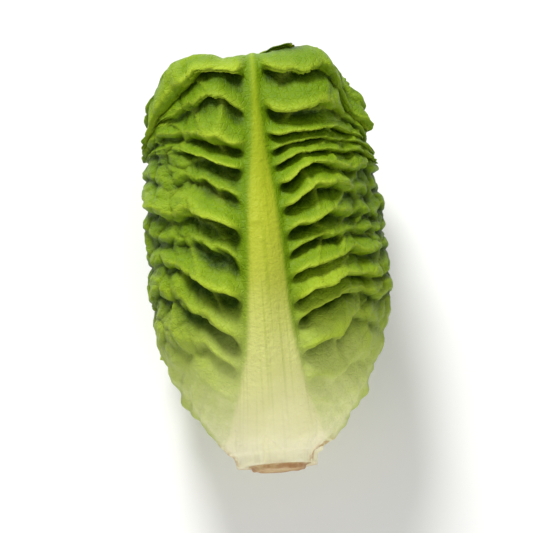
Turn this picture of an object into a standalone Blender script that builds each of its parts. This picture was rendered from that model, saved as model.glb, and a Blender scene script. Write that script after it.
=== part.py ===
"""A lettuce heart: a small upright heart lettuce, trimmed at the stem and laid on its side.

A cut stem carries nine wrapped leaves round a closed heart of small folded leaves. Every leaf
is laid over whatever lies inside it, from the heart outwards, so no two pieces cross.
A place on the head is an azimuth round its axis (0 is the top, positive towards +X), a distance
along the core's outline from the cut to the crown, and a height above the core.
Lengths are in metres and angles in degrees.
"""

import math

import bmesh
import bpy
import numpy as np

MM = 0.001

# The head as a whole
TILT = 5.0  # the crown end lies this much higher than the stem end
AXIS_LIFT = 27.4 * MM  # from the surface up to the head's axis at the cut
GOLDEN_ANGLE = 137.5  # from each leaf to the next one inwards
LEAF_COUNT = 9
GAP = 0.8 * MM  # left free between one piece and the next

# The core is the stem and the closed heart: its outline as radius and distance from the cut
CORE_OUTLINE = [
    (8.6 * MM, 0.0 * MM),
    (8.9 * MM, 4.0 * MM),
    (10.2 * MM, 9.0 * MM),
    (12.7 * MM, 15.0 * MM),
    (15.9 * MM, 24.0 * MM),
    (17.3 * MM, 36.0 * MM),
    (16.9 * MM, 50.0 * MM),
    (16.2 * MM, 64.0 * MM),
    (15.4 * MM, 80.0 * MM),
    (14.9 * MM, 92.0 * MM),
    (14.2 * MM, 99.0 * MM),
    (12.2 * MM, 104.0 * MM),
    (8.4 * MM, 107.2 * MM),
    (4.2 * MM, 108.6 * MM),
    (0.0 * MM, 109.0 * MM),
]
CROWN_START = 88.0 * MM  # from here to the crown the wrapped leaves fill out to blunt shoulders
CROWN_REACH = 31.0 * MM
CROWN_FULLNESS = 0.5
STEM_TOP = 13.0 * MM  # where the stem ends and the closed heart begins
STEM_STUB = 1.5 * MM  # how far the stem stands out past the leaves' cut ends
STUB_RADIUS = 7.8 * MM
STUB_BEVEL = 0.6 * MM

# Each ring has three leaves, the outer ring first
RINGS = [
    {
        "attach": 0.0 * MM,
        "tip_from_crown": 9.0 * MM,
        "span": 78.0,
        "base_span": 64.0,
        "rib_flare": 1.5 * MM,
        "rib_width": 5.5 * MM,
        "rib_thickness": 3.3 * MM,
        "fold_depth": 3.4 * MM,
        "fold_pitch": 8.6 * MM,
        "columns": 18,
    },
    {
        "attach": 4.5 * MM,
        "tip_from_crown": 7.0 * MM,
        "span": 76.0,
        "base_span": 50.0,
        "rib_flare": 1.0 * MM,
        "rib_width": 4.2 * MM,
        "rib_thickness": 2.5 * MM,
        "fold_depth": 2.1 * MM,
        "fold_pitch": 10.0 * MM,
        "columns": 12,
    },
    {
        "attach": 8.5 * MM,
        "tip_from_crown": 5.0 * MM,
        "span": 80.0,
        "base_span": 52.0,
        "rib_flare": 0.5 * MM,
        "rib_width": 3.2 * MM,
        "rib_thickness": 2.0 * MM,
        "fold_depth": 1.3 * MM,
        "fold_pitch": 10.0 * MM,
        "columns": 12,
    },
]
BLADE_THICKNESS = 1.1 * MM
LYING_ROOM = 2.0 * MM  # what each leaf under another takes up where the head lies on its side
RIB_TIP_WIDTH = 2.0 * MM
RIB_TIP_SHARE = 0.35  # of the rib's thickness that is left at the tip
POCKET_START = 4.0 * MM  # from the rib's edge to the deepest part of a pocket
POCKET_END = 20.0 * MM  # where the pockets have turned into narrow creases
VEIN_RISE = 13.0 * MM  # how far a side vein climbs from the rib to the margin
TIP_DROP = 9.0 * MM  # how far the rounded tip falls towards the margins

# The drape's grid and how closely a leaf follows what it lies on
AZIMUTH_CELLS = 180
ALONG_STEP = 1.0 * MM
REACH_ALONG = 3  # how many cells from a high spot the next leaf is held off
REACH_ROUND = 4
SOFTEN_PASSES = 6

# The closed heart's small leaves, in relief
BUD_LEAVES = 6
BUD_STEPS = 2.0 * MM  # from the outermost of them down to the innermost
BUD_SIDES = 28
BUD_RINGS = 18

LEAF_GREEN = (0.16, 0.33, 0.035, 1.0)
HEART_GREEN = (0.47, 0.62, 0.14, 1.0)
STEM_CREAM = (0.80, 0.74, 0.50, 1.0)


def smoothstep(low, high, value):
    """0 below low, 1 above high, and a smooth rise between them."""
    share = np.clip((value - low) / (high - low), 0.0, 1.0)
    return share * share * (3.0 - 2.0 * share)


def mix(first, second, share):
    return first + (second - first) * share


def ripple(a, b, seed, waves=7):
    """A smooth random field of a and b, mostly within -1 and 1 and the same for the same seed."""
    draw = np.random.default_rng(seed)
    total = 0.0
    for _ in range(waves):
        heading, phase = draw.uniform(0.0, 2.0 * math.pi, 2)
        pitch = draw.uniform(0.6, 1.5)
        total = total + np.sin(pitch * (a * math.cos(heading) + b * math.sin(heading)) + phase)
    return total / math.sqrt(waves * 1.6)


class Core:
    """The outline of the stem and the closed heart, read by distance along it."""

    def __init__(self):
        knots = np.array(CORE_OUTLINE)
        below = knots[0] - (knots[1] - knots[0]) * (0.0, 1.0)
        past = knots[-2] * (-1.0, 1.0)
        knots = np.vstack([below, knots, past])
        points = []
        steps = np.linspace(0.0, 1.0, 12, endpoint=False)[:, None]
        for a, b, c, d in zip(knots, knots[1:], knots[2:], knots[3:]):
            bend = 2.0 * a - 5.0 * b + 4.0 * c - d
            twist = -a + 3.0 * b - 3.0 * c + d
            points.append(0.5 * (2.0 * b + (c - a) * steps + bend * steps**2 + twist * steps**3))
        line = np.vstack([*points, knots[-2][None]])
        runs = np.hypot(*np.diff(line, axis=0).T)
        self.marks = np.concatenate([[0.0], np.cumsum(runs)])
        self.length = self.marks[-1]
        self.line = line
        slope = np.gradient(line, self.marks, axis=0)
        slope /= np.hypot(*slope.T)[:, None]
        self.normal = np.column_stack([slope[:, 1], -slope[:, 0]])

    def read(self, along, table):
        return np.interp(along, self.marks, table)

    def radius(self, along):
        return self.read(along, self.line[:, 0])

    def place(self, azimuth, along, height):
        """Points on the head, whose axis is +Y and whose cut is at 0, as an array of x, y, z."""
        turn = np.radians(azimuth)
        out = self.radius(along) + height * self.read(along, self.normal[:, 0])
        up = self.read(along, self.line[:, 1]) + height * self.read(along, self.normal[:, 1])
        return np.stack(np.broadcast_arrays(out * np.sin(turn), up, out * np.cos(turn)), axis=-1)


CORE = Core()


def lie_down(points):
    """The head's own points turned and lifted to lie on its side."""
    tilt = math.radians(TILT)
    x, y, z = points[..., 0], points[..., 1], points[..., 2]
    across = y * math.cos(tilt) - z * math.sin(tilt)
    up = y * math.sin(tilt) + z * math.cos(tilt) + AXIS_LIFT
    return np.stack([x, across, up], axis=-1)


def settle(points):
    """The head's own points with its crown filled out, lying on the surface."""
    share = np.clip((points[..., 1] - CROWN_START) / CROWN_REACH, 0.0, 1.0)
    fullness = 1.0 + CROWN_FULLNESS * share**2.2
    filled = np.stack([points[..., 0] * fullness, points[..., 1], points[..., 2] * fullness], axis=-1)
    lying = lie_down(filled)
    lying[..., 2] = np.maximum(lying[..., 2], 0.0)
    return lying


def height_of_surface(azimuth, along):
    """How far out from the core the surface that the head lies on is, and far away elsewhere."""
    foot = lie_down(CORE.place(azimuth, along, 0.0))[..., 2]
    head = lie_down(CORE.place(azimuth, along, 1.0))[..., 2]
    fall = foot - head
    return np.where(fall > 0.05, foot / np.maximum(fall, 0.05), 1.0)


class Drape:
    """How high the pieces laid so far stand over the core, on a grid of azimuth and distance along."""

    def __init__(self):
        self.rows = int(CORE.length / ALONG_STEP) + 2
        self.top = np.zeros((self.rows, AZIMUTH_CELLS))

    def cell(self, azimuth, along):
        return np.mod(azimuth, 360.0) * AZIMUTH_CELLS / 360.0, along / ALONG_STEP

    def softened(self):
        """A surface that clears everything laid so far and bridges its steps."""
        high = np.pad(self.top, ((REACH_ALONG, REACH_ALONG), (0, 0)), mode="edge")
        high = np.max([high[i : i + self.rows] for i in range(2 * REACH_ALONG + 1)], axis=0)
        turns = range(-REACH_ROUND, REACH_ROUND + 1)
        high = np.max([np.roll(high, turn, axis=1) for turn in turns], axis=0)
        for _ in range(SOFTEN_PASSES):
            padded = np.pad(high, ((1, 1), (0, 0)), mode="edge")
            high = (padded[:-2] + 2.0 * high + padded[2:]) / 4.0
            high = (np.roll(high, 1, axis=1) + 2.0 * high + np.roll(high, -1, axis=1)) / 4.0
        along = np.arange(self.rows)[:, None] * ALONG_STEP
        free = smoothstep(-3.0 * MM, 5.0 * MM, along)
        return np.maximum(mix(self.top, high, free), self.top) + GAP

    def read(self, field, azimuth, along):
        """The field between its cells, wrapped round the head."""
        turn, row = self.cell(azimuth, along)
        row = np.clip(row, 0.0, self.rows - 1.001)
        low_row, low_turn = np.floor(row).astype(int), np.floor(turn).astype(int)
        up, over = row - low_row, turn - low_turn
        left, right = low_turn % AZIMUTH_CELLS, (low_turn + 1) % AZIMUTH_CELLS
        lower = mix(field[low_row, left], field[low_row, right], over)
        upper = mix(field[low_row + 1, left], field[low_row + 1, right], over)
        return mix(lower, upper, up)

    def lay(self, azimuth, along, height):
        """Adds a piece's outer surface, given by points closer together than the cells."""
        turn, row = self.cell(azimuth, along)
        turn = np.round(turn).astype(int) % AZIMUTH_CELLS
        row = np.clip(np.round(row).astype(int), 0, self.rows - 1)
        np.maximum.at(self.top, (row, turn), height)


class Leaf:
    """One wrapped leaf. Its own places are u, from -1 to 1 across it, and q, in folds along it."""

    def __init__(self, number):
        self.name = f"leaf_{number}"
        self.seed = 100 * number
        self.azimuth = GOLDEN_ANGLE * (number - 1)
        self.ring = RINGS[(number - 1) // 3]
        self.attach = self.ring["attach"]
        self.lying_room = LYING_ROOM * max(0, min(number - 2, 2))
        self.tip = CORE.length - self.ring["tip_from_crown"]
        reach = self.tip - self.attach
        self.folds = round(reach / self.ring["fold_pitch"])
        draw = np.random.default_rng(self.seed)
        self.marks = []
        for _ in ("left", "right"):
            runs = 1.0 + draw.uniform(-0.22, 0.22, self.folds)
            marks = np.concatenate([[0.0], np.cumsum(runs)])
            self.marks.append(self.attach + reach * marks / marks[-1])
        self.spans = self.ring["span"] * (1.0 + draw.uniform(-0.05, 0.05, 2))

    def where(self, u, q):
        """Azimuth and distance along of a place on the leaf."""
        v = q / self.folds
        left, right = (np.interp(q, np.arange(self.folds + 1), marks) for marks in self.marks)
        along = mix(left, right, smoothstep(-0.15, 0.15, u))
        side = np.abs(u)
        climb = smoothstep(0.04, 0.34, v) * (1.0 - smoothstep(0.62, 1.0, v))
        along = along + VEIN_RISE * climb * side
        along = along - TIP_DROP * side**3 * smoothstep(0.5, 1.0, v)
        along = along + 1.6 * MM * smoothstep(0.8, 1.0, v) * ripple(3.5 * u, 0.0 * u, self.seed + 1)
        widest = np.where(u < 0.0, self.spans[0], self.spans[1])
        span = mix(self.ring["base_span"], widest, smoothstep(-0.02, 0.15, v))
        span = span * (1.0 - 0.16 * smoothstep(0.8, 1.0, v))
        edge = smoothstep(0.7, 1.0, side) * smoothstep(0.06, 0.2, v)
        waved = 2.6 * edge * ripple(0.0 * u, 1.1 * q, self.seed + np.where(u < 0.0, 2, 3).flat[0])
        return self.azimuth + u * span + np.sign(u) * waved, along

    def rib_half_width(self, v, reach):
        ring = self.ring
        flare = ring["rib_flare"] * np.exp(-((reach / (14.0 * MM)) ** 2))
        return RIB_TIP_WIDTH + ring["rib_width"] * (1.0 - v) + flare

    def thickness(self, u, q):
        v = q / self.folds
        azimuth, along = self.where(u, q)
        across = np.radians(np.abs(azimuth - self.azimuth)) * (CORE.radius(along) + 9.0 * MM * v**0.3)
        half = self.rib_half_width(v, along - self.attach)
        crown = np.clip(1.0 - (across / half) ** 2.2, 0.0, 1.0) ** 1.1
        rib = self.ring["rib_thickness"] * mix(1.0, RIB_TIP_SHARE, v)
        if self.attach > 0.0:
            rib = mix(BLADE_THICKNESS, rib, smoothstep(0.0, 0.08, v))
        return mix(BLADE_THICKNESS, np.maximum(rib, BLADE_THICKNESS), crown), across - half

    def puffed(self, u, q, from_rib):
        """How far the blade stands off what it lies on: pockets by the rib, folds further out."""
        v = q / self.folds
        swell = smoothstep(0.13, 0.36, v) * (1.0 - 0.3 * smoothstep(0.86, 1.0, v))
        beyond = smoothstep(0.0, POCKET_START, from_rib)
        far = smoothstep(POCKET_START, POCKET_END, from_rib)
        bump = np.abs(np.sin(math.pi * q)) ** mix(1.5, 0.6, far)
        fold = 1.0 - mix(1.0, 0.45, far) * (1.0 - bump)
        edge = smoothstep(0.8, 1.0, np.abs(u))
        shape = mix(0.45, fold * (1.0 - 0.35 * edge), beyond)
        lift = 0.8 * MM * edge * (1.0 + ripple(3.0 * u, 1.3 * q, self.seed + 4))
        return swell * (self.ring["fold_depth"] * shape + np.maximum(lift, 0.0))

    def surfaces(self, u, q, drape, ground):
        """Azimuth, distance along and the heights of the inner and outer surface."""
        azimuth, along = self.where(u, q)
        thickness, from_rib = self.thickness(u, q)
        outer = drape.read(ground, azimuth, along) + self.puffed(u, q, from_rib) + thickness
        outer = np.minimum(outer, height_of_surface(azimuth, along) - self.lying_room)
        return azimuth, along, outer - thickness, outer

    def columns(self):
        """The places across, close together at the rib and its pockets."""
        half = self.ring["columns"] // 2
        share = np.arange(half) / (half - 1)
        side = mix(0.035, 1.0, share**1.2)
        return np.concatenate([-side[::-1], side])

    def rows(self):
        """The places along: one on each crease and one on each crest, where there are folds."""
        return np.arange(0.0, self.folds + 0.1, 0.5)


def new_object(name, mesh, colour, roughness, collection):
    made = bpy.data.objects.new(name, mesh)
    collection.objects.link(made)
    material = bpy.data.materials.new(name)
    material.use_nodes = True
    shader = material.node_tree.nodes["Principled BSDF"]
    shader.inputs["Base Color"].default_value = colour
    shader.inputs["Roughness"].default_value = roughness
    shader.inputs["Metallic"].default_value = 0.0
    mesh.materials.append(material)
    return made


def leaf_mesh(leaf, drape, ground):
    """A closed blade: a flat grid cut into triangles, doubled, and moved to the leaf's surfaces."""
    across, lengthways = leaf.columns(), leaf.rows()
    u, q = np.meshgrid(across, lengthways)
    azimuth, along, inner, outer = leaf.surfaces(u, q, drape, ground)
    faces = [
        settle(CORE.place(azimuth, along, inner)),
        settle(CORE.place(azimuth, along, outer)),
    ]
    blade = bmesh.new()
    columns, rows = len(across) - 1, len(lengthways) - 1
    bmesh.ops.create_grid(blade, x_segments=columns, y_segments=rows, size=1.0)
    bmesh.ops.triangulate(blade, faces=blade.faces[:])
    for vertex in blade.verts:
        vertex.co.z = -1.0
    doubled = bmesh.ops.extrude_face_region(blade, geom=blade.faces[:])
    for item in doubled["geom"]:
        if isinstance(item, bmesh.types.BMVert):
            item.co.z = 1.0
    for vertex in blade.verts:
        column = round((vertex.co.x + 1.0) / 2.0 * columns)
        row = round((vertex.co.y + 1.0) / 2.0 * rows)
        point = faces[vertex.co.z > 0.0][row, column].copy()
        if abs(point[2]) < 1e-6:
            point[2] = 0.0
        vertex.co = point
    bmesh.ops.recalc_face_normals(blade, faces=blade.faces[:])
    if blade.calc_volume(signed=True) < 0.0:
        bmesh.ops.reverse_faces(blade, faces=blade.faces[:])
    mesh = bpy.data.meshes.new(leaf.name)
    blade.to_mesh(mesh)
    blade.free()
    mesh.shade_smooth()
    return mesh


def lay_leaf(leaf, drape, ground):
    """Adds the leaf to the drape."""
    u, q = np.meshgrid(np.linspace(-1.0, 1.0, 361), np.linspace(0.0, leaf.folds, 481))
    azimuth, along, _, outer = leaf.surfaces(u, q, drape, ground)
    drape.lay(azimuth, along, outer)


def bud_relief(azimuth, along):
    """How far the small leaves that close the heart lie below the core's outline.

    Each edge is a step over the next leaf inwards.
    """
    share = along / CORE.length
    height = -BUD_STEPS
    for number in range(BUD_LEAVES):
        middle = GOLDEN_ANGLE * (LEAF_COUNT + number)
        away = np.abs(np.mod(azimuth - middle + 180.0, 360.0) - 180.0)
        reach = 0.84 + 0.03 * number - 0.10 * (away / 95.0) ** 2.2
        inside = smoothstep(0.0, 0.02, reach - share) * smoothstep(0.0, 14.0, 95.0 - away)
        height = np.maximum(height, -BUD_STEPS * mix(1.0, number / BUD_LEAVES, inside))
    return height


def heart_mesh():
    """The closed heart: a ball whose points are moved to the core's outline and its relief."""
    bud = bmesh.new()
    bmesh.ops.create_uvsphere(bud, u_segments=BUD_SIDES, v_segments=BUD_RINGS, radius=1.0)
    floor = STEM_TOP + 0.4 * MM
    for vertex in bud.verts:
        x, y, z = vertex.co
        share = math.acos(max(-1.0, min(1.0, -z))) / math.pi
        azimuth = math.degrees(math.atan2(-x, y))
        if share < 1.5 / BUD_RINGS:
            ring = share * BUD_RINGS
            edge = CORE.place(np.array(azimuth), np.array(floor), np.array(-1.2 * MM))
            point = edge * (0.8 * ring, 1.0, 0.8 * ring)
        else:
            rise = (share - 1.0 / BUD_RINGS) / (1.0 - 1.0 / BUD_RINGS)
            along = mix(floor, CORE.length, rise)
            relief = bud_relief(np.array([azimuth]), np.array([along]))[0]
            point = CORE.place(np.array(azimuth), np.array(along), np.array(relief))
        vertex.co = settle(point)
    mesh = bpy.data.meshes.new("heart")
    bud.to_mesh(mesh)
    bud.free()
    mesh.shade_smooth()
    return mesh


def make_stem(collection):
    """The cut stem: a profile turned about the head's axis."""
    top = CORE.read(STEM_TOP, CORE.line[:, 1])
    side = [
        (CORE.radius(along), CORE.read(along, CORE.line[:, 1]))
        for along in np.linspace(STEM_TOP, 0.0, 6)
    ]
    profile = [
        (0.0, top),
        *side,
        (STUB_RADIUS, -0.4 * MM),
        (STUB_RADIUS, STUB_BEVEL - STEM_STUB),
        (STUB_RADIUS - STUB_BEVEL, -STEM_STUB),
        (0.0, -STEM_STUB),
    ]
    outline = bmesh.new()
    points = [outline.verts.new((radius, 0.0, up)) for radius, up in profile]
    for first, second in zip(points, points[1:]):
        outline.edges.new((first, second))
    mesh = bpy.data.meshes.new("stem")
    outline.to_mesh(mesh)
    outline.free()
    stem = new_object("stem", mesh, STEM_CREAM, 0.55, collection)
    turning = stem.modifiers.new("turned", "SCREW")
    turning.steps = turning.render_steps = 32
    turning.use_merge_vertices = True
    turning.merge_threshold = 0.00005
    stem.rotation_euler = (math.radians(TILT - 90.0), 0.0, 0.0)
    stem.location = (0.0, 0.0, AXIS_LIFT)
    return stem


def make_head(collection):
    """Every piece, from the heart outwards."""
    stem = make_stem(collection)
    heart = new_object("heart", heart_mesh(), HEART_GREEN, 0.5, collection)
    pieces = [stem, heart]
    drape = Drape()
    for number in range(LEAF_COUNT, 0, -1):
        leaf = Leaf(number)
        ground = drape.softened()
        blade = leaf_mesh(leaf, drape, ground)
        pieces.append(new_object(leaf.name, blade, LEAF_GREEN, 0.45, collection))
        lay_leaf(leaf, drape, ground)
    return pieces


def centre_on_origin(pieces, collection):
    """Hangs every piece on an empty that brings the middle of the head's footprint to the origin."""
    bpy.context.view_layer.update()
    graph = bpy.context.evaluated_depsgraph_get()
    corners = []
    for piece in pieces:
        solid = piece.evaluated_get(graph)
        mesh = solid.to_mesh()
        corners += [piece.matrix_world @ vertex.co for vertex in mesh.vertices]
        solid.to_mesh_clear()
    points = np.array(corners)
    middle = (points.min(axis=0) + points.max(axis=0)) / 2.0
    head = bpy.data.objects.new("lettuce_heart", None)
    collection.objects.link(head)
    head.location = (-middle[0], -middle[1], -points[:, 2].min())
    for piece in pieces:
        piece.parent = head


def main():
    for old in list(bpy.data.objects):
        bpy.data.objects.remove(old)
    collection = bpy.data.collections.new("lettuce_heart")
    bpy.context.scene.collection.children.link(collection)
    pieces = make_head(collection)
    centre_on_origin(pieces, collection)


main()
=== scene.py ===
"""The looks of a lettuce heart: wrapped, deeply puckered leaves round a closed heart, on its side.

Each leaf is laid over whatever lies inside it, from the heart outwards. A place on the head is an
azimuth round its axis (0 is the top, positive towards +X), a distance along the core's outline
from the cut to the crown, and a height above the core. Lengths are in metres, angles in degrees.
"""

import math

import bpy
import numpy as np
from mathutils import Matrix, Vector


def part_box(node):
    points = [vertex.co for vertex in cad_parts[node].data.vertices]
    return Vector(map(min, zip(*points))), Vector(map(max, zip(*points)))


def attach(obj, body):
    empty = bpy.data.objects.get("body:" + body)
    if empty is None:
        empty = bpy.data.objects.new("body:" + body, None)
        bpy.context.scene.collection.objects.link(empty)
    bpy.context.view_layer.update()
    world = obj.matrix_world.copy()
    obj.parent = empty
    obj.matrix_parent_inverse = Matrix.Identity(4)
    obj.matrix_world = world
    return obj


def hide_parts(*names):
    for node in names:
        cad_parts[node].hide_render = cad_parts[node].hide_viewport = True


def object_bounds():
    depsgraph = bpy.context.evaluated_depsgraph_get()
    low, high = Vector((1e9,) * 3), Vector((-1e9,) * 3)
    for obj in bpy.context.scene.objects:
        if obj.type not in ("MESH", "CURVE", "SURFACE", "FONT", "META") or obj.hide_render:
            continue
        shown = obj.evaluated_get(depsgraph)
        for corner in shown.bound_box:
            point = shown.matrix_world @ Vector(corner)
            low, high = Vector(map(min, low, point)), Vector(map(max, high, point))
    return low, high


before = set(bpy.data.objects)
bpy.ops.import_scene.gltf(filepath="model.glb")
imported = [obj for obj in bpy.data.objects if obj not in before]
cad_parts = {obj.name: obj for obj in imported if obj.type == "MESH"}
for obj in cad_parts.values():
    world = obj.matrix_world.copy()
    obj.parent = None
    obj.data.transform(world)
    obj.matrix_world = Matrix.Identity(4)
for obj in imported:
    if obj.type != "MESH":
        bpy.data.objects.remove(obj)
CAD_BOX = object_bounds()

MM = 0.001

# The head as a whole
TILT = 5.0
AXIS_LIFT = 27.4 * MM
GOLDEN_ANGLE = 137.5
LEAF_COUNT = 9
CORE_OUTLINE = [
    (8.6 * MM, 0.0 * MM),
    (8.9 * MM, 4.0 * MM),
    (10.2 * MM, 9.0 * MM),
    (12.7 * MM, 15.0 * MM),
    (15.9 * MM, 24.0 * MM),
    (17.3 * MM, 36.0 * MM),
    (16.9 * MM, 50.0 * MM),
    (16.2 * MM, 64.0 * MM),
    (15.4 * MM, 80.0 * MM),
    (14.9 * MM, 92.0 * MM),
    (14.2 * MM, 99.0 * MM),
    (12.2 * MM, 104.0 * MM),
    (8.4 * MM, 107.2 * MM),
    (4.2 * MM, 108.6 * MM),
    (0.0 * MM, 109.0 * MM),
]
CROWN_START = 88.0 * MM  # from here to the crown the wrapped leaves fill out to blunt shoulders
CROWN_REACH = 31.0 * MM
CROWN_FULLNESS = 0.5
CROWN_SWELL_POWER = 2.2
SQUEEZE = 2.0 * MM  # the last stretch before the solids' box, where the surface is eased inwards
STEM_TOP = 13.0 * MM
STEM_STUB = 1.5 * MM
STUB_RADIUS = 7.8 * MM
STUB_BEVEL = 0.6 * MM

# Each ring has three leaves, the outer ring first
RINGS = [
    {
        "attach": 0.0 * MM,
        "tip_from_crown": 9.0 * MM,
        "span": 78.0,
        "base_span": 64.0,
        "rib_share": 1.0,
        "rib_thickness": 3.3 * MM,
        "fold_depth": 4.6 * MM,
        "fold_pitch": 8.6 * MM,
        "across": 184,
        "lengthways": 246,
    },
    {
        "attach": 4.5 * MM,
        "tip_from_crown": 7.0 * MM,
        "span": 76.0,
        "base_span": 50.0,
        "rib_share": 0.7,
        "rib_thickness": 2.5 * MM,
        "fold_depth": 2.6 * MM,
        "fold_pitch": 10.0 * MM,
        "across": 120,
        "lengthways": 170,
    },
    {
        "attach": 8.5 * MM,
        "tip_from_crown": 5.0 * MM,
        "span": 80.0,
        "base_span": 52.0,
        "rib_share": 0.5,
        "rib_thickness": 2.0 * MM,
        "fold_depth": 1.8 * MM,
        "fold_pitch": 10.0 * MM,
        "across": 86,
        "lengthways": 112,
    },
]
BLADE_THICKNESS = 0.8 * MM
FLANK_THICKNESS = 1.0 * MM  # an outer leaf's flesh beside its midrib, down by the cut
LYING_ROOM = 1.4 * MM
RIB_TIP_SHARE = 0.3

# The gap that a leaf keeps from what lies inside it, and where it opens, by distance from the cut
GAP = 0.65 * MM
GAP_SHARE_AT_CUT = 0.4
GAP_OPENS = (8.0 * MM, 42.0 * MM)
LEAVES_PART = (-3.0 * MM, 22.0 * MM)  # where a leaf stops hugging every step and bridges them

# Half the midrib's width on an outer leaf, by distance from the cut
RIB_PROFILE = [
    (0.0 * MM, 13.0 * MM),
    (12.0 * MM, 9.4 * MM),
    (24.0 * MM, 7.2 * MM),
    (36.0 * MM, 6.2 * MM),
    (57.0 * MM, 5.0 * MM),
    (74.0 * MM, 4.1 * MM),
    (87.0 * MM, 2.7 * MM),
    (100.0 * MM, 1.7 * MM),
    (118.0 * MM, 0.9 * MM),
]
THICK_HALF = 8.5 * MM  # the thick part is no wider than this, though the pale part is
RIB_SHOULDER = (2.4, 0.9)  # the powers that round the midrib off

# How a leaf's sides run. A pair for the two sides is left, then right. A pair for where something
# sets in or fades is its start and end: along the leaf in shares of its length, across it in
# shares of half its width.
SEAM = (-0.15, 0.15)  # where the left side's folds give way to the right side's
GIRTH_GROWS = (0.0, 0.5)
GIRTH_FOR_WIDTH = 10.0 * MM  # how far out from the core the leaf is taken to lie at mid-length
GIRTH_FOR_DISTANCE = 12.0 * MM
VEIN_RISE = (18.0 * MM, 11.0 * MM)  # how far a side vein climbs to the margin
VEIN_BEND = (0.22, 0.12)  # how soon it turns level
VEIN_EARLY_SHARE = 0.48  # the part of the climb before it turns
CLIMB_SETS_IN = (0.04, 0.34)
CLIMB_FADES = (0.62, 1.0)
TIP_DROP = 9.0 * MM
TIP_DROP_SETS_IN = (0.5, 1.0)
TIP_STRETCH = (0.8, 1.0)
TIP_WAVE = 1.6 * MM
TIP_WAVE_RATE = 3.5
TIP_NARROWING = 0.16
SPAN_OPENS = (-0.02, 0.15)
MARGIN_WAVES_ACROSS = (0.7, 1.0)
MARGIN_WAVES_SET_IN = (0.06, 0.2)
MARGIN_WAVE_LONG = (2.6, 1.1)  # degrees, and how many radians of wave there are to a fold
MARGIN_WAVE_SHORT = (1.1, 5.0)

# How a leaf's folds vary from one to the next
MOST_FOLDS = 40
FOLD_RUN_SPREAD = 0.34
SPAN_SPREAD = 0.05
FOLD_SIZES = (0.5, 1.2)
FOLD_SKEWS = (0.5, 0.8)
FOLD_SHARPS = (1.0, 2.6)
FOLD_REACHES = (9.0 * MM, 34.0 * MM)

# The folds' shape, by distance from the midrib's edge
FOLD_RATE = (1.0, 1.4)  # folds on the two sides for each step along the leaf
FOLDS_LOOSEN = (0.0 * MM, 6.0 * MM)
FOLDS_ROUND_OFF = (3.0 * MM, 15.0 * MM)
WANDERS = [  # how far a fold strays, the length and the rate of its bends, its seed and its waves
    (0.22, 3.4 * MM, 1.6, 0, 9),
    (0.09, 1.4 * MM, 3.4, 10, 11),
    (0.03, 0.55 * MM, 6.0, 15, 13),
]
LIP_PLACE = 0.47  # where across a fold its lip stands
LIP_WIDTH = 0.09
LIP_RISE = 0.2
LIP_LOSS_FAR = 0.5
FOLD_FADE = 9.0 * MM
FADED_FOLD = 0.5
BRANCH = 0.34  # how far the smaller folds that join the side folds stand up
BRANCH_LENGTH = 2.6 * MM
BRANCH_RATE = (1.2, 5.0)
BRANCH_WIDTH = 0.45
BRANCH_SHARPNESS = 1.5
BRANCHES_SET_IN = (2.0 * MM, 6.0 * MM)
BRANCH_LOSS_ON_CREST = 0.6
BRANCH_LIP = 0.35
OVERHANG = (0.72, 0.45)  # how far a crest leans out over its pocket, by the midrib and further out

# The blisters between the folds, by distance from the midrib's edge
BLISTER = 6.0 * MM
BLISTER_ROUND = 2.2 * MM
BLISTER_HEIGHT = 1.5 * MM
BLISTERS_GROW = (3.0 * MM, 14.0 * MM)
BLISTER_STRETCH = (0.5, 1.5)  # across and along, right by the midrib
BLISTER_SLANT = 0.35
BLISTER_WARPS = [  # strength, length and the two seeds
    (0.26, 4.0 * MM, 40, 41),
    (0.07, 1.3 * MM, 44, 45),
]
SMALL_BLISTERS = 2.3  # how many small ones there are to a large one, each way
SMALL_SLOPE = 1.2
LARGE_SHARE = 0.72
BLISTER_MEAN = 0.45

# The leaf's relief
BLADE_THINS = (0.06, 0.24)
INNER_RIB_SETS_IN = (0.0, 0.08)
MARGIN_THINS = (0.95, 1.0)
MARGIN_THINNING = 0.6
SWELL_SETS_IN = (0.12, 0.35)
SWELL_FADES = (0.9, 1.0)
SWELL_LOSS = 0.25
BESIDE_RIB = (-0.8 * MM, 2.6 * MM)
FAR_FROM_RIB = (7.0 * MM, 17.0 * MM)
FOLDS_FAR = (0.5, 0.62)  # how deep the folds still are there, on the two sides
BLISTERS_BY_RIB = 0.38
FOLD_BASE = 0.42
FOLD_GAIN = 1.1
RIB_LEVEL = 0.48
MARGIN = (0.82, 1.0)
FLARE = 0.4 * MM
FLARE_ACROSS = (0.8, 1.0)
FLARE_FADES = (0.12, 0.3)
RUFFLE = 0.9 * MM
RUFFLE_RATE = (3.0, 3.6)
WRINKLE = 0.15 * MM
WRINKLE_LENGTH = 0.42 * MM
WRINKLE_WAVES = 16
GROOVE = 0.14 * MM
GROOVE_LENGTH = (0.9 * MM, 30.0 * MM)
CRINKLE = (0.3 * MM, 0.9 * MM)  # low on the leaf, by the midrib and by the margin
CRINKLE_LENGTH = (0.9 * MM, 0.8 * MM)
CRINKLE_WAVES = 12
CRINKLES_ACROSS = (0.45, 0.85)
CRINKLES_SET_IN = (0.05, 0.16)
STIFFNESS_LOSS = 0.4
STIFFNESS_FADES = (0.0 * MM, 5.0 * MM)
LEAN_LOSS_AT_MARGIN = 0.5

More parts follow.
